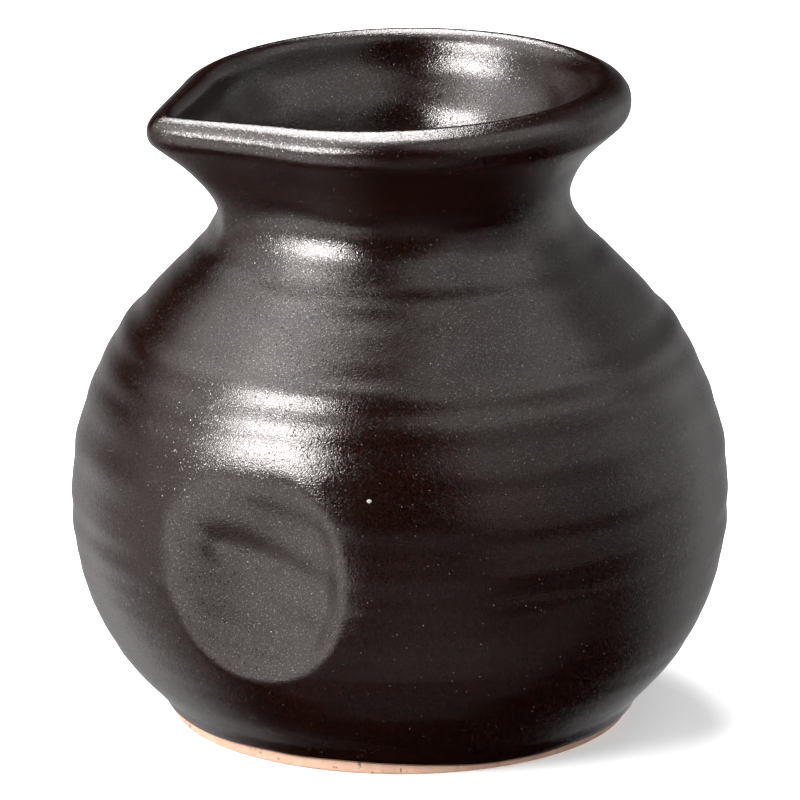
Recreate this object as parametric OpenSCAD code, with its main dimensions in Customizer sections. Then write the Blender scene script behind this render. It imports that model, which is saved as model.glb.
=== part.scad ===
// Squat hand-thrown sake pourer: a stoneware body with a rolled lip, a pinched spout and a
// thumb dimple, coated outside and inside with glaze and bare where the foot ring stands.
// The foot stands on z = 0 with its centre at the origin, and the spout points along -X.
// Outlines are lists of [radius, height], followed from the foot over the lip to the floor inside.

/* [Body] */
// Widest radius of the belly, glaze included
belly_r = 45; // [43:0.5:47]
// Height of the widest part of the belly
belly_z = 31; // [29:0.5:33]
// Radius of the neck at its narrowest
neck_r = 23.6; // [22:0.1:25]
// Height of the narrowest part of the neck
neck_z = 72; // [71:0.5:73]
// Thickness of the clay wall between its two coats of glaze
wall = 3.4; // [2.8:0.1:4]
// Thickness of the clay floor above the recess
floor_t = 3.6; // [3:0.1:4.5]

/* [Lip] */
// Radius from the axis to the centre of the rolled lip
lip_r = 28; // [27:0.1:29]
// Height of the centre of the rolled lip
lip_z = 85.7; // [84:0.1:87]
// Mean radius of the roll itself
roll_r = 2.7; // [2.3:0.1:3]
// How much thicker the roll is on its heavy side, and thinner on the other
roll_swell = 0.5; // [0:0.05:0.5]
// Direction of the roll's heavy side seen from above, counted from +X
heavy_angle = 335; // [0:5:360]
// How much higher the lip stands on its high side, and lower opposite
lip_tilt = 0.6; // [0:0.05:0.7]
// Direction of the lip's high side seen from above, counted from +X
high_angle = 30; // [0:5:360]
// How much higher the lip stands at its two sides, and lower at front and back
lip_sway = 0.2; // [0:0.05:0.5]

/* [Spout] */
// Radius from the axis to the centre of the roll at the spout's tip
spout_r = 36.2; // [33:0.1:37]
// Angle to each side over which the lip is drawn out to the spout
spout_half = 36; // [30:1:45]
// Rounding of the spout's tip, as an angle
spout_round = 4; // [2:1:8]
// Drop of the lip at the spout's tip
spout_drop = 0.7; // [0:0.1:2]
// Height at which the neck starts to lean out towards the lip's own outline
lean_from_z = 63; // [60:1:68]

/* [Dimple] */
// Direction of the dimple seen from above, counted from +X
dimple_angle = 219; // [210:1:230]
// Height of the dimple's centre
dimple_z = 30; // [28:0.5:32]
// Half of the dimple's width round the belly
dimple_half_w = 14.5; // [12:0.5:17]
// Half of the dimple's height
dimple_half_h = 15; // [12:0.5:16]
// Depth of the dimple below the round belly
dimple_depth = 4; // [2:0.25:5]

/* [Foot] */
// Radius of the foot ring where it stands
foot_r = 31.2; // [30:0.1:32]
// Height of the crease between the foot and the belly
foot_h = 3.6; // [3:0.1:4.5]
// Width of the ring that stands on the table
foot_ring_w = 5; // [4:0.5:7]
// Depth of the recess inside the foot ring
recess_d = 2.2; // [1.5:0.1:3]

/* [Glaze] */
// Thickness of the glaze outside and inside
glaze_t = 0.4; // [0.3:0.05:0.6]
// Mean height of the glaze's lower edge, above which the foot is coated
glaze_edge_z = 1.2; // [0.9:0.1:1.6]
// How far the lower edge waves up and down
glaze_wave = 0.35; // [0:0.05:0.5]

/* [Mesh] */
// Number of sides round the axis
sides = 56; // [40:4:60]
// Number of steps between two stations of an outline
steps = 2; // [1:1:3]

/* [Hidden] */
clay_colour = "#c9a08c";
glaze_colour = "#2b2523";
full_lean_z = lip_z - 1.5;
recess_r = foot_r - foot_ring_w;
bare_margin = 1.2;
floor_z = recess_d + floor_t + glaze_t;
coat = wall + 2 * glaze_t;
lip_start = -40;
lip_end = 160;
lip_steps = 8;

// Outside of the glaze, from its lower edge up to the roll
outside = [
    [foot_r + 0.8, glaze_edge_z],
    [foot_r + 1.9, foot_h - 0.3],
    [foot_r + 3, foot_h + 0.9],
    [0.867 * belly_r, 10],
    [0.944 * belly_r, 0.53 * belly_z],
    [0.986 * belly_r, 0.75 * belly_z],
    [0.998 * belly_r, belly_z],
    [0.982 * belly_r, belly_z + 8],
    [0.934 * belly_r, belly_z + 15],
    [0.766 * belly_r, neck_z - 14],
    [neck_r + 2.8, neck_z - 5],
    [neck_r, neck_z],
    [neck_r + 1.7, neck_z + 6.5],
    [lip_r + roll_r * cos(lip_start), lip_z + roll_r * sin(lip_start)]
];
// Inside of the glaze, from the roll down through the throat to the seam of the two coats
throat = [
    [lip_r + roll_r * cos(lip_end), lip_z + roll_r * sin(lip_end)],
    [lip_r - roll_r - 1, lip_z - 2.5],
    [neck_r - coat + 1.6, neck_z + 6.5],
    [neck_r - coat, neck_z + 1]
];
// Inside of the glaze, from the seam down to the middle of the floor
inside = [
    [neck_r - coat, neck_z + 1],
    [neck_r + 3.1 - coat, neck_z - 6.5],
    [0.762 * belly_r - 0.75 * coat, neck_z - 16.5],
    [0.935 * belly_r - coat, belly_z + 13],
    [0.995 * belly_r - coat, belly_z],
    [0.937 * belly_r - 0.9 * coat, 0.6 * belly_z],
    [0.72 * belly_r, floor_z + 4.5],
    [0.5 * belly_r, floor_z + 0.8],
    [0.2 * belly_r, floor_z],
    [0, floor_z]
];

// Smooth curve through all stations of an outline, at u from 0 to its last index
function curve_at(p, u) =
    let (
        n = len(p) - 1,
        i = min(floor(u), n - 1),
        t = u - i,
        a = p[max(i - 1, 0)],
        b = p[i],
        c = p[i + 1],
        d = p[min(i + 2, n)]
    )
    (2 * b + (c - a) * t + (2 * a - 5 * b + 4 * c - d) * t * t + (3 * b - a - 3 * c + d) * t * t * t) / 2;

// Slope of that curve at u, as a unit vector turned to point away from the clay
function away_at(p, u) =
    let (
        n = len(p) - 1,
        d = curve_at(p, min(u + 0.05, n)) - curve_at(p, max(u - 0.05, 0))
    )
    [d.y, -d.x] / norm(d);

// One outline as [point, outward direction] pairs
function outline(p) = [for (i = [0 : steps * (len(p) - 1)]) [curve_at(p, i / steps), away_at(p, i / steps)]];

// The round of the lip, without the two ends that the outlines already have
function roll_outline() = [
    for (i = [1 : lip_steps - 1])
        let (b = lip_start + (lip_end - lip_start) * i / lip_steps, d = [cos(b), sin(b)])
        [[lip_r, lip_z] + roll_r * d, d]
];

function without_last(list) = [for (i = [0 : len(list) - 2]) list[i]];

function reversed(list) = [for (i = [len(list) - 1 : -1 : 0]) list[i]];

outer_path = concat(outline(outside), roll_outline(), outline(throat));
inner_path = outline(inside);
whole_path = concat(without_last(outer_path), inner_path);

// 0 for t below 0, 1 above 1, and a smooth rise between them
function ramp(t) = let (c = max(0, min(1, t))) c * c * (3 - 2 * c);

// Direction of side j: the sides are closer together round the spout and the dimple
function side_angle(j) =
    let (t = 360 * j / sides, busy = (180 + dimple_angle) / 2)
    t - 20 * sin(t - busy);

// Angle away from the spout at angle a, rounded off near the spout's tip
function from_spout(a) = norm([a - 180, spout_round]);

// Share of the spout's pull on the lip: nearly 1 at its tip and 0 at its sides, which run straight
function pull(a) =
    let (d = from_spout(a))
    d < spout_half ? (1 / cos(spout_half - d) - 1) / (1 / cos(spout_half) - 1) : 0;

// Depth of the dimple at angle a and height z
function dent(a, z) =
    let (
        across = belly_r * (a - dimple_angle) * PI / 180 / dimple_half_w,
        up = (z - dimple_z) / dimple_half_h
    )
    dimple_depth * ramp((1.05 - norm([across, up])) / 0.75);

// A point of the round outline, moved to its place on the pot at angle a
function placed(p, a) =
    let (
        lean = ramp((p.x < 0 ? 0 : p.y - lean_from_z) / (full_lean_z - lean_from_z)),
        swell = roll_swell / roll_r * cos(a - heavy_angle) * (p - [lip_r, lip_z]),
        drawn = pull(a) * [spout_r - lip_r, -spout_drop],
        rise = [0, lip_tilt * cos(a - high_angle) - lip_sway * cos(2 * a)],
        q = p + lean * (drawn + swell + rise),
        r = q.x - min(q.x, dent(a, q.y) * ramp(q.x / recess_r - 0.5))
    )
    [r * cos(a), r * sin(a), q.y];

// How far the glaze's lower edge slides up at angle a, which dies away above the foot
function edge_slide(a, z) =
    glaze_wave * (sin(2 * a + 40) + 0.5 * sin(5 * a)) * (1 - ramp((z - glaze_edge_z) / (2 * foot_h)));

// Ring of points for one [point, outward direction] pair, sunk below the glazed face by depth
function ring(pair, depth) = [
    for (j = [0 : sides - 1])
        let (
            a = side_angle(j),
            along = [-pair[1].y, pair[1].x],
            slide = pair[1].y < 0 ? edge_slide(a, pair[0].y) : 0
        )
        placed(pair[0] - depth * pair[1] + slide * along, a)
];

// Triangles between the ring that starts at point a and the ring that starts at point b,
// cut along the same diagonal from either side when rising is turned round
function band(a, b, rising) = [
    for (j = [0 : sides - 1])
        let (k = (j + 1) % sides)
        each rising
            ? [[a + j, b + k, a + k], [a + j, b + j, b + k]]
            : [[a + j, b + j, a + k], [a + k, b + j, b + k]]
];

// Triangles from one ring to a single point
function fan(a, tip) = [for (j = [0 : sides - 1]) [a + j, tip, a + (j + 1) % sides]];

// Coat of glaze open at both ends of its path: its face, then its back against the clay
module open_coat(path) {
    n = len(path);
    polyhedron(
        points = concat(
            [for (pair = path) each ring(pair, 0)],
            [for (i = [n - 1 : -1 : 0]) each ring(path[i], glaze_t)]
        ),
        faces = [for (i = [0 : 2 * n - 1]) each band(i * sides, (i + 1) % (2 * n) * sides, i < n)]
    );
}

// Coat of glaze that closes in the middle of the floor
module closed_coat(path) {
    n = len(path) - 1;
    floor_tip = [0, 0, path[n][0].y];
    polyhedron(
        points = concat(
            [for (i = [0 : n - 1]) each ring(path[i], 0)],
            [for (i = [0 : n - 1]) each ring(path[i], glaze_t)],
            [floor_tip, floor_tip - [0, 0, glaze_t]]
        ),
        faces = concat(
            [for (i = [0 : n - 2]) each band(i * sides, (i + 1) * sides, true)],
            fan((n - 1) * sides, 2 * n * sides),
            [for (i = [0 : n - 2]) each [for (f = band((n + i) * sides, (n + i + 1) * sides, true)) reversed(f)]],
            [for (f = fan((2 * n - 1) * sides, 2 * n * sides + 1)) reversed(f)],
            [for (f = band(0, n * sides, true)) reversed(f)]
        )
    );
}

// Stoneware pot as one closed surface, before the recess is turned out of its foot
module blank_pot() {
    n = len(whole_path) - 1;
    foot = [[foot_r - 0.8, 0], [foot_r + 0.1, 0.4]];
    start = len(foot);
    rings = start + n;
    points = concat(
        [for (p = foot) for (j = [0 : sides - 1]) let (a = side_angle(j)) [p.x * cos(a), p.x * sin(a), p.y]],
        [for (i = [0 : n - 1]) each ring(whole_path[i], glaze_t)],
        [[0, 0, whole_path[n][0].y - glaze_t]]
    );
    polyhedron(
        points = points,
        faces = concat(
            [[for (j = [0 : sides - 1]) j]],
            [for (i = [0 : rings - 2]) each band(i * sides, (i + 1) * sides, true)],
            fan((rings - 1) * sides, rings * sides)
        )
    );
}

module clay_body() {
    color(clay_colour)
        difference() {
            blank_pot();
            translate([0, 0, -1])
                cylinder(r = recess_r, h = recess_d + 1, $fn = 96);
        }
}

module outer_glaze() {
    color(glaze_colour) open_coat(outer_path);
}

module inner_glaze() {
    color(glaze_colour) closed_coat(inner_path);
}

module base_glaze() {
    color(glaze_colour)
        translate([0, 0, recess_d - glaze_t])
            cylinder(r = recess_r - bare_margin, h = glaze_t, $fn = 96);
}

clay_body();
outer_glaze();
inner_glaze();
base_glaze();
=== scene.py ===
"""Squat hand-thrown sake pourer with a rolled lip, a pinched spout and a thumb dimple.

The shapes are drawn in millimetres and scaled to the frame's metres when a mesh is made.
Outlines are (radius, height) points, heights count up from the table, and angles are degrees
round the axis, counted from +X.
"""

import math

import bpy
import numpy as np
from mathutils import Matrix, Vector


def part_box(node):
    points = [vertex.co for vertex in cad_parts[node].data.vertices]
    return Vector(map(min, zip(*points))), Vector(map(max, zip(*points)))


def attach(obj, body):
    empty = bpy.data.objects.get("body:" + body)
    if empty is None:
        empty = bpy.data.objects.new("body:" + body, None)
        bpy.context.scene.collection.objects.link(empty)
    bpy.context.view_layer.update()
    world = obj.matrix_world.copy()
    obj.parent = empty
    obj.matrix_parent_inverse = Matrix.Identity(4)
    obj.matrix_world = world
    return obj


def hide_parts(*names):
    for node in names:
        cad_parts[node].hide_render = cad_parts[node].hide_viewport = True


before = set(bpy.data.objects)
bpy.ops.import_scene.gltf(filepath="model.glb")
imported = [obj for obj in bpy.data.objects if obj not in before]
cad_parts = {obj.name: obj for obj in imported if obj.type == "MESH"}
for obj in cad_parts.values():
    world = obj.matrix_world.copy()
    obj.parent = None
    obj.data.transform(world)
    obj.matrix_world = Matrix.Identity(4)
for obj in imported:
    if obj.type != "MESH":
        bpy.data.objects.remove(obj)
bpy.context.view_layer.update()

MM = 0.001
COAT_LOW, COAT_HIGH = (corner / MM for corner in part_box("outer_glaze"))
BASE_LOW, BASE_HIGH = (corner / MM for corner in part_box("base_glaze"))

# Body
BELLY_R = (COAT_HIGH.x - COAT_LOW.x) / 2
BELLY_Z = 31.0
NECK_R = 23.6
NECK_Z = 73.2
WALL = 3.4
FLOOR_T = 3.6
GLAZE_T = 0.4
FULL_WALL = WALL + 2 * GLAZE_T

# Lip: a roll round a centre line at LIP_R and LIP_Z, drawn by the angle round the roll
LIP_R = 28.0
ROLL_R = 2.7
ROLL_START = -40.0  # under the lip, outside
ROLL_END = 160.0  # inside the mouth
ROLL_DROOP = 0.4  # how far the roll sags on its outer underside
DROOP_START = 60.0
DROOP_FULL = -15.0
ROLL_SWELL = 0.5  # extra roll radius on the heavy side, and as much less opposite
HEAVY_ANGLE = 335.0
NEAR_SWELL = 0.35  # extra roll radius on the near side, where the roll also sits lower
NEAR_ANGLE = 246.5
NEAR_REACH = 75.0
LIP_TILT = 0.6  # how much higher the lip stands on its high side, and lower opposite
HIGH_ANGLE = 30.0
LIP_SWAY = 0.2  # how far the lip dips at the spout and opposite, and rises between
LIP_RISE = 0.79  # room left above the roll for its tilt and sway, which use about 0.6 of it
LIP_MARGIN = 0.1  # a little more room, so that the lip stays under the top of the CAD coat
LIP_Z = COAT_HIGH.z - ROLL_R - LIP_RISE - LIP_MARGIN
WIPE_DEPTH = 0.32  # flat that a wet finger wiped along the roll
WIPE_ANGLE = 66.0
WIPE_REACH = 45.0
CREASE_DEPTH = 0.07  # shallow crease outside the flat
CREASE_ANGLE = 33.0
CREASE_REACH = 9.0

# Spout, drawn out of the lip and the throat
SPOUT_R = 36.2
SPOUT_HALF = 36.0  # angle from its tip to where it joins the round lip
SPOUT_ROUND = 4.0
SPOUT_DROP = 0.7
SPOUT_ANGLE = 180.0
LEAN_FROM_Z = 63.0  # the wall begins to follow the lip here
FULL_LEAN_Z = LIP_Z - 1.5

# Dimple
DIMPLE_ANGLE = 219.0
DIMPLE_Z = 30.0
DIMPLE_HALF_W = 14.3
DIMPLE_HALF_H = 15.2
DIMPLE_DEPTH = 3.7
DIMPLE_STEP = 0.5  # part of the depth that falls within a short slope at the edge
DIMPLE_SLOPE = 0.22  # width of that slope, as a share of the dimple
DIMPLE_SQUARE = 2.3  # 2 is an ellipse, more is squarer
DIMPLE_LEAN = 0.16  # bulge of the upper left edge
CRISP_RISE = 0.6  # the edge is crisp on the right and below, and turns soft up to the left
CRISP_REACH = 1.6
SOFT_BOWL = 2.0
CRISP_BOWL = 1.35

# Marks of the thumb in the dimple, placed in millimetres across and up from its centre
RIPPLE_HEIGHT = 0.11
RIPPLE_PITCH = 7.5
RIPPLE_SLANT = 0.25
RIPPLE_SHIFT = 1.5
HOLLOW_DEPTH = 0.24
HOLLOW_PLACE = (-5.9, 3)
HOLLOW_SPREAD = 3.5
CREST_HEIGHT = 0.1
CREST_PLACE = (0.4, 0.5)
CREST_SPREAD = (6, 2)

# Foot
FOOT_R = 31.2
FOOT_H = 3.6
RECESS_R = BASE_HIGH.x + 1.2
RECESS_D = BASE_HIGH.z
RECESS_ROUND = 1.0
STAND_ROUND = 0.6
FOOT_ROUND = 0.8
FLOOR_Z = RECESS_D + FLOOR_T + GLAZE_T
GLAZE_EDGE_Z = 1.2
GLAZE_WAVE = 0.35
BASE_INSET = 0.4

# Throwing rings that the potter's fingers left outside, and the fine lines between them
RING_HEIGHTS = (26.7, 31.7, 38.7, 45.5, 50.0, 54.6, 58.5, 61.0, 63.8)
RING_HALF_WIDTH = 1.3
RING_HEIGHT = 0.17
RING_CHANGE = 0.35  # how much a ring gains and loses strength round the pot
RING_DRIFT = 0.5
LINE_PITCH = 3.4
LINE_HEIGHT = 0.022
LINE_WANDER = 0.6
LINE_BEAT = 11.0

# Slow unevenness of the wall
SWELLINGS = 14
SWELLING_HEIGHT = 0.05

# Where the rings and the unevenness die away: near the foot and the lip, and in the dimple
RELIEF_LOW_Z = 6.0
RELIEF_HIGH_Z = NECK_Z + 4
RELIEF_FADE = 6.0
RINGS_STOP = 0.9
RINGS_FADE = 0.3

# Edges of the outer coat
COAT_INSET = 0.2  # sets the face back, so that the rings and the swellings stay near the CAD coat
FOOT_EDGE_REACH = 0.9
THROAT_EDGE_REACH = 1.2
THROAT_EDGE_DEPTH = 0.25

# Grain of grit that shows beside the dimple
GRIT_ANGLE = 241.0
GRIT_Z = 41.5
GRIT_R = 0.34
GRIT_SINK = 0.12
GRIT_FLATNESS = 0.8
GRIT_TILT = 0.22
GRIT_SIDES, GRIT_RINGS = 24, 12

# Meshes
SIDES = 414
BUSY_ANGLE = (SPOUT_ANGLE + DIMPLE_ANGLE) / 2
CROWDING = 20.0
BACK_EVERY = 3
OUTSIDE_SPACING = 0.72
ROLL_SPACING = 0.4
THROAT_SPACING = 0.85
INSIDE_SPACING = 1.4

# Camera
CAMERA_AZIMUTH = -23.5
CAMERA_ELEVATION = 16.0
CAMERA_DISTANCE = 1.0
CAMERA_LENS = 330.4
CAMERA_TARGET = (0, 0, 0.04326)

# Square lights, as (name, aside, elevation, width, height, brightness). Aside counts from the
# camera's direction, positive to its right, and all four are degrees as seen from the pot.
LIGHT_DISTANCE = 0.9
LIGHT_POWER = math.pi  # watts that give a square metre of light a brightness of 1
LIGHTS = (
    ("key", -50, 28, 30, 23, 23.5),
    ("key_edge", -55, 33, 38, 40, 5),
    ("rear_top", 194, 63, 24, 44, 16),
    ("low_left", -46, -15, 50, 34, 1.35),
    ("right_panel", 62, 31.5, 79, 87, 0.36),
    ("right_mid", 62, 44.5, 69, 61, 0.36),
    ("right_high", 62, 55.5, 57, 39, 0.68),
)

# Strips of glowing table in front of the pot, as (reach, depth, brightness), in metres
TABLE_GLOWS = ((0.051, 0.022, 0.1), (0.0565, 0.019, 0.16))
TABLE_GLOW_WIDTH = 0.16
TABLE_GLOW_Z = 0.001

# Soft round glows in the far studio, as (aside, elevation, reach, brightness)
GLOWS = (
    (-112, 60, 42, 2.0),
    (-92, 38, 40, 1.4),
    (-80, 5, 36, 0.75),
    (-84, 65, 25, 2.4),
    (0, 90, 30, 0.5),
    (120, 22, 42, 0.45),
    (115, -8, 36, 0.5),
    (-118, -24, 38, 0.8),
    (-155, -25, 38, 0.5),
    (152, -20, 36, 0.35),
    (-58, -14, 38, 1.0),
    (10, -28, 34, 0.25),
)


# Outlines

def ramp(t):
    """0 for t below 0, 1 above 1, and a smooth rise between them."""
    c = np.clip(t, 0, 1)
    return c * c * (3 - 2 * c)


def bump(t):
    """1 at t = 0, falling smoothly to 0 at t = -1 and t = 1."""
    return ramp(1 - np.abs(t))


def spline(stations, spacing):
    """Smooth curve through the stations, as points about `spacing` apart."""
    p = np.array(stations, float)
    last = len(p) - 1

    def at(u):
        """Points of the curve where it has passed u stations, counted with fractions."""
        i = np.minimum(np.floor(u).astype(int), last - 1)
        t = (u - i)[:, None]
        a, b = p[np.maximum(i - 1, 0)], p[i]
        c, d = p[i + 1], p[np.minimum(i + 2, last)]
        bend = (2 * a - 5 * b + 4 * c - d) * t**2
        twist = (3 * b - a - 3 * c + d) * t**3
        return (2 * b + (c - a) * t + bend + twist) / 2

    fine_u = np.linspace(0, last, 4000)
    run = distances(at(fine_u))
    count = max(2, round(run[-1] / spacing))
    return at(np.interp(np.linspace(0, run[-1], count + 1), run, fine_u))


def distances(points):
    """Distance of each point from the first, along the line of points."""
    steps = np.linalg.norm(np.diff(points, axis=0), axis=1)
    return np.concatenate([[0], np.cumsum(steps)])


def arc(centre, radius, start, end, spacing):
    """Round stretch of an outline."""
    count = max(2, round(radius * abs(math.radians(end - start)) / spacing))
    b = np.radians(np.linspace(start, end, count + 1))
    return np.stack([centre[0] + radius * np.cos(b), centre[1] + radius * np.sin(b)], 1)


def roll_point(b):
    """Point of the lip's roll at angle b, which droops a little towards its underside."""
    droop = ROLL_DROOP * min(1, max(0, (DROOP_START - b) / (DROOP_START - DROOP_FULL)))
    r = LIP_R + ROLL_R * math.cos(math.radians(b))
    z = LIP_Z + ROLL_R * math.sin(math.radians(b))
    return r, z - droop


# Outer face from the foot up to the roll, then the throat from the roll down, then the inside
OUTSIDE = (
    (FOOT_R + 0.8, GLAZE_EDGE_Z),
    (FOOT_R + 1.9, FOOT_H - 0.3),
    (FOOT_R + 3, FOOT_H + 0.9),
    (0.869 * BELLY_R, 10),
    (0.946 * BELLY_R, 0.53 * BELLY_Z),
    (0.988 * BELLY_R, 0.75 * BELLY_Z),
    (BELLY_R, BELLY_Z),
    (0.984 * BELLY_R, BELLY_Z + 8),
    (0.936 * BELLY_R, BELLY_Z + 15),
    (0.858 * BELLY_R, NECK_Z - 20),
    (0.7675 * BELLY_R, NECK_Z - 15.2),
    (NECK_R + 2.5, NECK_Z - 6),
    (NECK_R, NECK_Z),
    (NECK_R + 1.8, NECK_Z + 5.5),
    roll_point(ROLL_START),
)
THROAT = (
    roll_point(ROLL_END),
    (LIP_R - ROLL_R - 1, LIP_Z - 2.5),
    (NECK_R - FULL_WALL + 1.6, NECK_Z + 5.3),
    (NECK_R - FULL_WALL, NECK_Z - 0.2),
)
INSIDE = (
    (NECK_R - FULL_WALL, NECK_Z - 0.2),
    (NECK_R + 3.1 - FULL_WALL, NECK_Z - 7.7),
    (0.762 * BELLY_R - 0.75 * FULL_WALL, NECK_Z - 17.7),
    (0.935 * BELLY_R - FULL_WALL, BELLY_Z + 13),
    (0.995 * BELLY_R - FULL_WALL, BELLY_Z),
    (0.937 * BELLY_R - 0.9 * FULL_WALL, 0.6 * BELLY_Z),
    (0.72 * BELLY_R, FLOOR_Z + 4.5),
    (0.5 * BELLY_R, FLOOR_Z + 0.8),
    (0.2 * BELLY_R, FLOOR_Z),
    (0, FLOOR_Z),
)


# Placing an outline round the pot

def side_angles():
    """Directions of the sides, which crowd together round the spout and the dimple."""
    t = np.linspace(0, 360, SIDES, endpoint=False)
    return t - CROWDING * np.sin(np.radians(t - BUSY_ANGLE))


ANGLES = side_angles()


def turns(degrees):
    """Cosine of an angle in degrees."""
    return np.cos(np.radians(degrees))


def pull(a):
    """Share of the spout's pull on the lip: 1 near its tip and 0 at its sides, which run straight."""
    d = np.hypot(a - SPOUT_ANGLE, SPOUT_ROUND)
    sharp = 1 / math.cos(math.radians(SPOUT_HALF)) - 1
    return (1 / turns(np.clip(SPOUT_HALF - d, 0, SPOUT_HALF)) - 1) / sharp


def dimple_place(a, z):
    """Place in the dimple: millimetres across and up from its centre."""
    return BELLY_R * np.radians(a - DIMPLE_ANGLE), z - DIMPLE_Z


def dimple_share(a, z):
    """0 at the dimple's centre and 1 at its edge, which bulges on the upper left."""
    across, up = dimple_place(a, z)
    bulge = DIMPLE_LEAN * np.clip(up, -DIMPLE_HALF_H, DIMPLE_HALF_H)
    half_w = DIMPLE_HALF_W + np.where(across < 0, bulge, 0)
    share = np.abs(across / half_w) ** DIMPLE_SQUARE + np.abs(up / DIMPLE_HALF_H) ** DIMPLE_SQUARE
    return share ** (1 / DIMPLE_SQUARE)


def dent(a, z):
    """Depth of the thumb dimple: a short slope inside its right and lower edge, and a shallow bowl."""
    share = dimple_share(a, z)
    across, up = dimple_place(a, z)
    crisp = ramp(0.5 + (across - CRISP_RISE * up) / (CRISP_REACH * DIMPLE_HALF_W))
    edge = crisp * ramp((1 - share) / DIMPLE_SLOPE)
    bowl = np.clip(1 - share**2, 0, 1) ** (SOFT_BOWL + (CRISP_BOWL - SOFT_BOWL) * crisp)
    return DIMPLE_STEP * edge + (DIMPLE_DEPTH - DIMPLE_STEP) * bowl


def thumb_ripples(a, z):
    """Soft ripples that the thumb left in the dimple."""
    across, up = dimple_place(a, z)
    inside = ramp((1 - dimple_share(a, z)) / 0.3)
    ripple = np.cos(2 * math.pi * (up + RIPPLE_SLANT * across + RIPPLE_SHIFT) / RIPPLE_PITCH)
    hollow_across, hollow_up = across - HOLLOW_PLACE[0], up - HOLLOW_PLACE[1]
    hollow = np.exp(-(hollow_across**2 + hollow_up**2) / HOLLOW_SPREAD)
    crest_across, crest_up = across - CREST_PLACE[0], up - CREST_PLACE[1]
    crest = np.exp(-(crest_across**2 / CREST_SPREAD[0] + crest_up**2 / CREST_SPREAD[1]))
    return inside * (RIPPLE_HEIGHT * ripple - HOLLOW_DEPTH * hollow + CREST_HEIGHT * crest)


def placed(path, slide=0.0, dented=True):
    """Rings of points, one for each outline point, with the pot's lean, spout and dimple."""
    r, z, a = path[:, 0][:, None], path[:, 1][:, None] + slide, ANGLES[None, :]
    lean = ramp((z - LEAN_FROM_Z) / (FULL_LEAN_Z - LEAN_FROM_Z))
    drawn = pull(a)
    near = NEAR_SWELL * bump((a - NEAR_ANGLE) / NEAR_REACH)
    swell = (ROLL_SWELL * turns(a - HEAVY_ANGLE) + near) / ROLL_R
    rise = LIP_TILT * turns(a - HIGH_ANGLE) - LIP_SWAY * turns(2 * a) - near
    radius = r + lean * (drawn * (SPOUT_R - LIP_R) + swell * (r - LIP_R))
    height = z + lean * (swell * (z - LIP_Z) - SPOUT_DROP * drawn + rise)
    if dented:
        radius = radius - dent(a, height)
    return np.stack([radius * turns(a), radius * turns(a - 90), height + 0 * a], 2)


def normals(rings):
    """Directions that point out of the face made by the rings, at each of its points."""
    along = np.gradient(rings, axis=0)
    round_ = np.roll(rings, -1, axis=1) - np.roll(rings, 1, axis=1)
    n = np.cross(round_, along)
    return n / np.maximum(np.linalg.norm(n, axis=2), 1e-9)[..., None]


def waves(a, orders, seed):
    """Irregular line round the pot, between about -1 and 1."""
    rng = np.random.default_rng(seed)
    total = 0 * a
    for order in orders:
        total = total + turns(order * a + rng.uniform(0, 360)) * rng.uniform(0.5, 1) / math.sqrt(order)
    return total / sum(1 / math.sqrt(order) for order in orders)


def throwing_rings(a, z):
    """Height of the soft ridges that run round the belly and the shoulder."""
    total = 0 * (a + z)
    for i, height in enumerate(RING_HEIGHTS):
        strength = 1 + RING_CHANGE * waves(a, (1, 2, 3), 20 + i)
        drift = RING_DRIFT * waves(a, (1, 2), 40 + i)
        total = total + strength * bump((z - height - drift) / (2 * RING_HALF_WIDTH))
    wander = LINE_WANDER * waves(a, (1, 2, 3), 61)
    lines = np.cos(2 * math.pi * (z + wander) / LINE_PITCH)
    lines = lines * (1 + 0.5 * np.cos(2 * math.pi * z / LINE_BEAT))
    return RING_HEIGHT * total + LINE_HEIGHT * lines


def unevenness(a, z):
    """Slow swelling of the wall that turning by hand leaves."""
    total = 0 * (a + z)
    rng = np.random.default_rng(3)
    for _ in range(SWELLINGS):
        order = rng.integers(1, 9)
        total = total + turns(order * a + rng.uniform(3, 14) * z + rng.uniform(0, 360)) / (2 + order)
    return SWELLING_HEIGHT * total


# Meshes

def mesh_object(name, points, faces, material):
    """Smooth closed mesh from points in millimetres."""
    mesh = bpy.data.meshes.new(name)
    mesh.from_pydata((np.asarray(points) * MM).tolist(), [], faces)
    mesh.validate()
    mesh.shade_smooth()
    mesh.materials.append(material)
    piece = bpy.data.objects.new(name, mesh)
    bpy.context.scene.collection.objects.link(piece)
    return piece


def lofted(name, rings, material, start_tip=None, end_tip=None):
    """Closed surface through rings of points, which runs to a tip at each end or joins up in a loop."""
    count, sides = rings.shape[:2]
    j = np.arange(sides)
    k = (j + 1) % sides
    faces = []
    joined = start_tip is None and end_tip is None
    for i in range(count if joined else count - 1):
        low, high = i * sides, (i + 1) % count * sides
        faces += np.stack([low + j, low + k, high + k, high + j], 1).tolist()
    points = [rings.reshape(-1, 3)]
    tips = count * sides
    if start_tip is not None:
        faces += np.stack([k, j, np.full(sides, tips)], 1).tolist()
        points.append([start_tip])
        tips += 1
    if end_tip is not None:
        top = (count - 1) * sides
        faces += np.stack([top + j, top + k, np.full(sides, tips)], 1).tolist()
        points.append([end_tip])
    return mesh_object(name, np.concatenate(points), faces, material)


def belongs(piece, node):
    """Ties a piece to the body and hides the CAD node that it stands for."""
    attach(piece, "root")
    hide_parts(node)


# Materials

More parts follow.
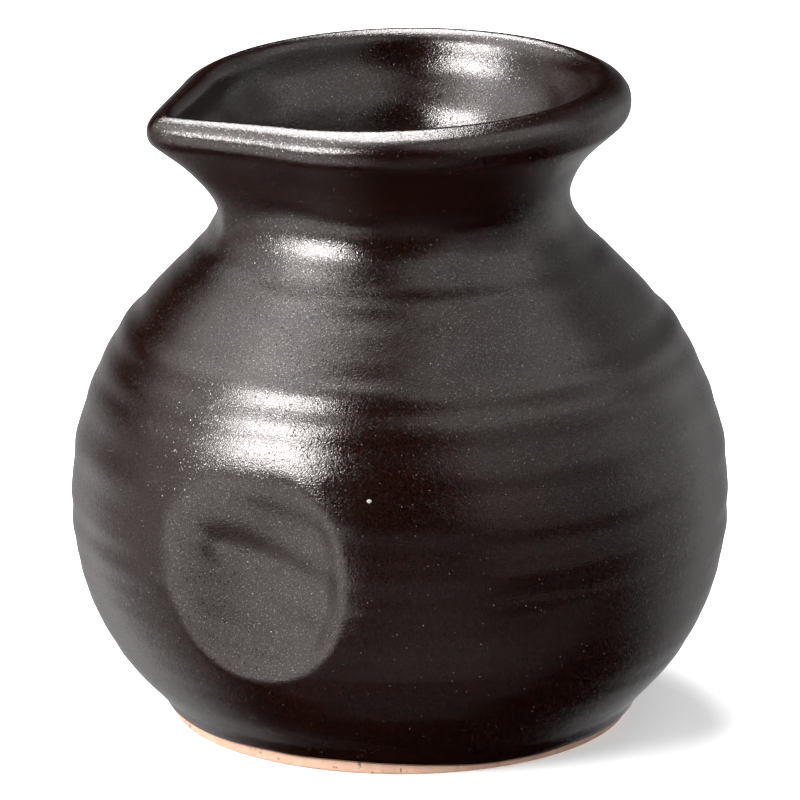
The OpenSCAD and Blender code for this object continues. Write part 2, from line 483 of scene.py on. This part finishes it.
class Nodes:
    """Short way to add shader nodes to a node tree."""

    def __init__(self, tree):
        self.tree = tree

    def add(self, kind, inputs=None, **settings):
        """New node with its settings and its inputs, which are values or other nodes' outputs."""
        node = self.tree.nodes.new(kind)
        for key, value in settings.items():
            setattr(node, key, value)
        for key, value in (inputs or {}).items():
            self.set(node.inputs[key], value)
        return node

    def set(self, socket, value):
        """Gives a socket a constant, or links another node's output to it."""
        if isinstance(value, bpy.types.NodeSocket):
            self.tree.links.new(value, socket)
        else:
            socket.default_value = value

    def spread(self, value, low, high, to_low=0.0, to_high=1.0, **settings):
        """The value stretched from one range to another, and held at its ends."""
        inputs = {"Value": value, "From Min": low, "From Max": high, "To Min": to_low, "To Max": to_high}
        return self.add("ShaderNodeMapRange", inputs, **settings).outputs["Result"]

    def math(self, operation, first, second):
        """Result of a sum on two values."""
        return self.add("ShaderNodeMath", {0: first, 1: second}, operation=operation).outputs[0]

    def blend(self, share, first, second):
        """Colour between the first, at share 0, and the second, at share 1."""
        node = self.add("ShaderNodeMix", data_type="RGBA")
        self.set(node.inputs["Factor"], share)
        self.set(node.inputs["A"], first)
        self.set(node.inputs["B"], second)
        return node.outputs["Result"]

    def vector(self, operation, first, second=None, scale=None):
        """Result of a sum on vectors."""
        node = self.add("ShaderNodeVectorMath", {0: first}, operation=operation)
        if second is not None:
            self.set(node.inputs[1], second)
        if scale is not None:
            self.set(node.inputs["Scale"], scale)
        return node.outputs["Vector"]


class Surface(Nodes):
    """Nodes of one new material, whose patterns are fixed to the object."""

    def __init__(self, name):
        self.material = bpy.data.materials.new(name)
        self.material.use_nodes = True
        super().__init__(self.material.node_tree)
        self.shader = self.tree.nodes["Principled BSDF"]
        self.place = self.add("ShaderNodeTexCoord").outputs["Object"]

    def noise(self, size, detail=2.0, roughness=0.5):
        """Cloudy value whose patches are about `size` mm across."""
        inputs = {"Vector": self.place, "Scale": 1 / (size * MM)}
        inputs |= {"Detail": detail, "Roughness": roughness}
        return self.add("ShaderNodeTexNoise", inputs).outputs["Fac"]

    def cells(self, size):
        """Node of random cells about `size` mm across."""
        inputs = {"Vector": self.place, "Scale": 1 / (size * MM)}
        return self.add("ShaderNodeTexVoronoi", inputs)

    def raised(self, height, depth, onto=None):
        """Normal of a surface whose height varies by `depth` mm."""
        inputs = {"Height": height, "Distance": depth * MM, "Strength": 1.0}
        if onto is not None:
            inputs["Normal"] = onto
        return self.add("ShaderNodeBump", inputs).outputs["Normal"]

    def glinting(self, normal, size):
        """The normal with rare crystals, about `size` mm across, that lie askew and catch a light."""
        cell = self.cells(size)
        askew = self.vector("SUBTRACT", cell.outputs["Color"], (0.5, 0.5, 0.5))
        pick = self.add("ShaderNodeSeparateColor", {"Color": cell.outputs["Color"]})
        rare = self.spread(pick.outputs["Red"], 0.86, 1.0, 0.0, 0.42)
        tilted = self.vector("ADD", normal, self.vector("SCALE", askew, scale=rare))
        return self.vector("NORMALIZE", tilted)


def dark_glaze():
    """Near-black iron glaze with fine metallic crystals, orange peel and sparse pale specks."""
    n = Surface("dark_glaze")
    colour = n.blend(n.noise(6, 3), (0.008, 0.0018, 0.001, 1), (0.004, 0.0012, 0.0009, 1))

    # Crystals turn fully metallic before they turn pale, so that none looks milky
    crystals = n.noise(0.2, 2, 0.6)
    colour = n.blend(n.spread(crystals, 0.54, 0.66), colour, (0.115, 0.111, 0.108, 1))

    # Specks: one cell in seven has a small pale dot at its centre
    speck = n.cells(0.45)
    pick = n.add("ShaderNodeSeparateColor", {"Color": speck.outputs["Color"]})
    rare = n.spread(pick.outputs["Red"], 0.86, 1.0)
    small = n.spread(speck.outputs["Distance"], 0.17, 0.06)
    colour = n.blend(n.math("MULTIPLY", rare, small), colour, (0.3, 0.27, 0.25, 1))

    n.set(n.shader.inputs["Base Color"], colour)
    n.set(n.shader.inputs["Metallic"], n.spread(crystals, 0.52, 0.54))
    n.set(n.shader.inputs["Roughness"], n.spread(n.noise(0.9, 3), 0.3, 0.7, 0.13, 0.185))
    n.set(n.shader.inputs["Specular IOR Level"], 0.5)
    n.set(n.shader.inputs["Specular Tint"], (1, 0.985, 0.98, 1))
    peel = n.raised(n.noise(1.2, 2), 0.018)
    grain = n.raised(n.noise(0.23, 1.5, 0.6), 0.035, peel)
    n.set(n.shader.inputs["Normal"], n.glinting(grain, 0.17))
    return n.material


def bare_clay():
    """Unglazed stoneware: pale pinkish brown, matt and sandy."""
    n = Surface("bare_clay")
    colour = n.blend(n.noise(2.5, 4), (0.33, 0.19, 0.13, 1), (0.52, 0.34, 0.25, 1))
    sand = n.spread(n.cells(0.4).outputs["Color"], 0.8, 0.95)
    colour = n.blend(sand, colour, (0.16, 0.09, 0.06, 1))
    n.set(n.shader.inputs["Base Color"], colour)
    n.set(n.shader.inputs["Roughness"], 0.85)
    rough = n.raised(n.noise(0.35, 4, 0.65), 0.08)
    n.set(n.shader.inputs["Normal"], n.raised(n.noise(1.5, 2), 0.1, rough))
    return n.material


def quartz():
    """Pale milky grain with a thin gloss of glaze."""
    n = Surface("quartz_grit")
    colour = n.blend(n.noise(0.3, 3), (0.10, 0.095, 0.08, 1), (0.36, 0.35, 0.31, 1))
    n.set(n.shader.inputs["Base Color"], colour)
    n.set(n.shader.inputs["Roughness"], 0.35)
    n.set(n.shader.inputs["Normal"], n.raised(n.noise(0.2, 3), 0.06))
    return n.material


GLAZE = dark_glaze()
QUARTZ = quartz()
CLAY = bare_clay()


# Outer coat: from its rounded lower edge over the lip to its end in the throat

def outer_path():
    """Outline of the coat, with the flat and the crease that wiping left on the roll."""
    count = round(ROLL_R * math.radians(ROLL_END - ROLL_START) / ROLL_SPACING)
    b = np.linspace(ROLL_START, ROLL_END, count)
    roll = np.array([roll_point(angle) for angle in b])
    wiped = 1 - WIPE_DEPTH / ROLL_R * bump((b - WIPE_ANGLE) / WIPE_REACH)
    wiped = wiped - CREASE_DEPTH / ROLL_R * bump((b - CREASE_ANGLE) / CREASE_REACH)
    roll = (LIP_R, LIP_Z) + wiped[:, None] * (roll - (LIP_R, LIP_Z))
    outside, throat = spline(OUTSIDE, OUTSIDE_SPACING), spline(THROAT, THROAT_SPACING)
    return np.concatenate([outside, roll[1:-1], throat])


def foot_edge_slide(a, z):
    """How far the glaze's lower edge slides up or down, which dies away above the foot."""
    wave = np.sin(np.radians(2 * a + 40)) + 0.5 * np.sin(np.radians(5 * a))
    wave = wave + 0.35 * waves(a, (9, 13, 17, 23), 5)
    return GLAZE_WAVE * wave * (1 - ramp((z - GLAZE_EDGE_Z) / (2 * FOOT_H)))


def rounded_off(run, reach):
    """1 at a coat's edge, falling to 0 at `reach` from it as a quarter circle does."""
    return 1 - np.sqrt(1 - (1 - np.clip(run / reach, 0, 1)) ** 2)


def outer_face():
    """Rings of the coat's outer face, with all its relief, and their normals."""
    path = outer_path()
    run = distances(path)[:, None]
    left = run[-1] - run
    a = ANGLES[None, :]
    z = path[:, 1][:, None]
    outside = np.arange(len(path))[:, None] < len(spline(OUTSIDE, OUTSIDE_SPACING)) - 2
    slide = np.where(outside, foot_edge_slide(a, z), 0)
    rings = placed(path, slide)
    n = normals(rings)
    height = rings[..., 2]
    above_foot = ramp((height - RELIEF_LOW_Z) / RELIEF_FADE)
    body = above_foot * ramp((RELIEF_HIGH_Z - height) / RELIEF_FADE) * outside
    beside = ramp((dimple_share(a, height) - RINGS_STOP) / RINGS_FADE)
    relief = body * (beside * throwing_rings(a, height) + unevenness(a, height) - COAT_INSET)
    relief = relief + thumb_ripples(a, height)
    relief = relief - GLAZE_T * rounded_off(run, FOOT_EDGE_REACH)
    relief = relief - THROAT_EDGE_DEPTH * rounded_off(left, THROAT_EDGE_REACH)
    return rings + relief[..., None] * n, n


def backed(front, n, thickness):
    """Fewer rings, sunk below those of a face by the coat's thickness."""
    picked = np.unique(np.append(np.arange(0, len(front), BACK_EVERY), len(front) - 1))
    return front[picked] - thickness * n[picked]


outer_front, outer_normals = outer_face()
outer_back = backed(outer_front, outer_normals, GLAZE_T)
outer_coat = lofted("outer_coat", np.concatenate([outer_front, outer_back[::-1]]), GLAZE)
belongs(outer_coat, "outer_glaze")


# Inner coat: from under the outer coat's end down to the middle of the floor

def inner_face():
    """Rings of the inner coat's face and their normals."""
    path = spline(INSIDE, INSIDE_SPACING)[:-1]
    rings = placed(path)
    return rings, normals(rings)


inner_front, inner_normals = inner_face()
inner_back = backed(inner_front, inner_normals, GLAZE_T)
inner_coat = lofted(
    "inner_coat",
    np.concatenate([inner_back[::-1], inner_front]),
    GLAZE,
    start_tip=(0, 0, FLOOR_Z - GLAZE_T),
    end_tip=(0, 0, FLOOR_Z),
)
belongs(inner_coat, "inner_glaze")


# Stoneware body

def foot_rings():
    """Recess, foot ring and outer edge of the foot, from the middle outwards."""
    roof_radii = (1, 3, 8, 14, 20, 24)
    roof = np.array([(r, RECESS_D) for r in roof_radii], float)
    corner = arc((RECESS_R - RECESS_ROUND, RECESS_D - RECESS_ROUND), RECESS_ROUND, 90, 0, 0.3)
    inner_round = arc((RECESS_R + STAND_ROUND, STAND_ROUND), STAND_ROUND, 180, 270, 0.2)
    stand = np.array([(r, 0) for r in (28, 29, 30)], float)
    outer_round = arc((FOOT_R - STAND_ROUND, FOOT_ROUND), FOOT_ROUND, 270, 340, 0.2)
    path = np.concatenate([roof, corner, inner_round, stand, outer_round])
    return placed(path, dented=False)


clay_rings = np.concatenate([foot_rings(), outer_back, inner_back])
pot = lofted(
    "stoneware_pot", clay_rings, CLAY,
    start_tip=(0, 0, RECESS_D), end_tip=(0, 0, FLOOR_Z - GLAZE_T),
)
belongs(pot, "clay_body")


# Grit: a pale quartz grain that has come up through the glaze

def grit():
    """Slightly flattened, knobbly grain, sunk a little into the coat."""
    a = math.radians(GRIT_ANGLE)
    outwards = np.array([math.cos(a), math.sin(a), GRIT_TILT])
    outwards = outwards / np.linalg.norm(outwards)
    ring = outer_front[np.argmin(np.abs(outer_front[:, 0, 2] - GRIT_Z))]
    side = np.argmin(np.abs(ANGLES - GRIT_ANGLE % 360))
    centre = ring[side] - GRIT_SINK * outwards
    rng = np.random.default_rng(11)
    rings = []
    for i in range(1, GRIT_RINGS):
        b = math.pi * i / GRIT_RINGS
        t = np.linspace(0, 2 * math.pi, GRIT_SIDES, endpoint=False)
        r = GRIT_R * (1 + 0.12 * np.sin(3 * t + 2 * b) + 0.06 * rng.normal(size=GRIT_SIDES))
        across = r * math.sin(b)
        up = -GRIT_FLATNESS * r * math.cos(b)
        rings.append(np.stack([across * np.cos(t), across * np.sin(t), up], 1))
    rings = np.array(rings) + centre
    tip = np.array([0, 0, GRIT_FLATNESS * GRIT_R])
    return lofted("grit_grain", rings, QUARTZ, start_tip=centre - tip, end_tip=centre + tip)


belongs(grit(), "clay_body")


# Glaze under the foot

def base_rings():
    """Flat patch with a rounded rim, from the middle of its top outwards and back underneath."""
    radii = (1, 5, 12, 20, 23)
    top = np.array([(r, BASE_HIGH.z) for r in radii], float)
    rim_centre = (BASE_HIGH.x - BASE_INSET, (BASE_HIGH.z + BASE_LOW.z) / 2)
    rim = arc(rim_centre, (BASE_HIGH.z - BASE_LOW.z) / 2, 90, -90, 0.1)
    underside = np.array([(r, BASE_LOW.z) for r in reversed(radii)], float)
    return placed(np.concatenate([top, rim, underside]), dented=False)


base_patch = lofted(
    "base_patch", base_rings()[::-1], GLAZE,
    start_tip=(0, 0, BASE_LOW.z), end_tip=(0, 0, BASE_HIGH.z),
)
belongs(base_patch, "base_glaze")


# Studio: a pale floor, soft lights and the camera

def direction(azimuth, elevation):
    """Unit vector towards a place seen at this azimuth and elevation; azimuth 0 is along -Y."""
    a, e = math.radians(azimuth), math.radians(elevation)
    return Vector((math.sin(a) * math.cos(e), -math.cos(a) * math.cos(e), math.sin(e)))


def aimed(thing, azimuth, elevation, distance):
    """Puts a light or the camera in a direction and turns it towards the pot."""
    thing.location = Vector(CAMERA_TARGET) + distance * direction(azimuth, elevation)
    thing.rotation_euler = (Vector(CAMERA_TARGET) - thing.location).to_track_quat("-Z", "Y").to_euler()


def area_light(name, width, height, brightness):
    """Rectangular light that the camera can't see, with its size in metres."""
    data = bpy.data.lights.new(name, "AREA")
    data.shape = "RECTANGLE"
    data.size, data.size_y = width, height
    data.energy = brightness * width * height * LIGHT_POWER
    light = bpy.data.objects.new(name, data)
    light.visible_camera = False
    bpy.context.scene.collection.objects.link(light)
    return light


def seen_size(degrees):
    """Size in metres that looks this wide at the lights' distance."""
    return 2 * LIGHT_DISTANCE * math.tan(math.radians(degrees) / 2)


for name, aside, elevation, width, height, brightness in LIGHTS:
    soft_light = area_light(name, seen_size(width), seen_size(height), brightness)
    aimed(soft_light, CAMERA_AZIMUTH + aside, elevation, LIGHT_DISTANCE)

for reach, depth, brightness in TABLE_GLOWS:
    strip = area_light("table_glow", TABLE_GLOW_WIDTH, depth, brightness)
    strip.location = reach * direction(CAMERA_AZIMUTH, 0) + Vector((0, 0, TABLE_GLOW_Z))
    strip.rotation_euler = (math.pi, 0, math.radians(CAMERA_AZIMUTH))


def studio_world():
    """Dark studio with soft round glows."""
    world = bpy.data.worlds.new("studio")
    world.use_nodes = True
    n = Nodes(world.node_tree)
    towards = n.add("ShaderNodeTexCoord").outputs["Generated"]
    total = 0.0
    for aside, elevation, reach, brightness in GLOWS:
        middle = direction(CAMERA_AZIMUTH + aside, elevation)
        facing = n.add("ShaderNodeVectorMath", {0: towards, 1: middle}, operation="DOT_PRODUCT")
        edge = math.cos(math.radians(reach))
        glow = n.spread(facing.outputs["Value"], edge, 1, 0, brightness, interpolation_type="SMOOTHSTEP")
        total = n.math("ADD", total, glow)
    background = n.tree.nodes["Background"]
    n.set(background.inputs["Strength"], total)
    n.set(background.inputs["Color"], (1, 1, 1, 1))
    return world


def pale_floor():
    """Paper-white floor that glows a little and isn't mirrored in the glaze."""
    mesh = bpy.data.meshes.new("floor")
    mesh.from_pydata([(-2, -2, 0), (2, -2, 0), (2, 2, 0), (-2, 2, 0)], [], [(0, 1, 2, 3)])
    paper = Surface("pale_floor")
    paper.set(paper.shader.inputs["Base Color"], (0.8, 0.8, 0.8, 1))
    paper.set(paper.shader.inputs["Roughness"], 0.9)
    paper.set(paper.shader.inputs["Emission Color"], (1, 1, 1, 1))
    paper.set(paper.shader.inputs["Emission Strength"], 0.35)
    mesh.materials.append(paper.material)
    floor = bpy.data.objects.new("floor", mesh)
    floor.visible_glossy = False
    floor.visible_shadow = False
    bpy.context.scene.collection.objects.link(floor)
    return floor


bpy.context.scene.world = studio_world()
pale_floor()

camera_data = bpy.data.cameras.new("camera")
camera_data.lens = CAMERA_LENS
camera_data.clip_end = 20
camera = bpy.data.objects.new("camera", camera_data)
bpy.context.scene.collection.objects.link(camera)
bpy.context.scene.camera = camera
aimed(camera, CAMERA_AZIMUTH, CAMERA_ELEVATION, CAMERA_DISTANCE)
bpy.context.scene.view_settings.view_transform = "Standard"
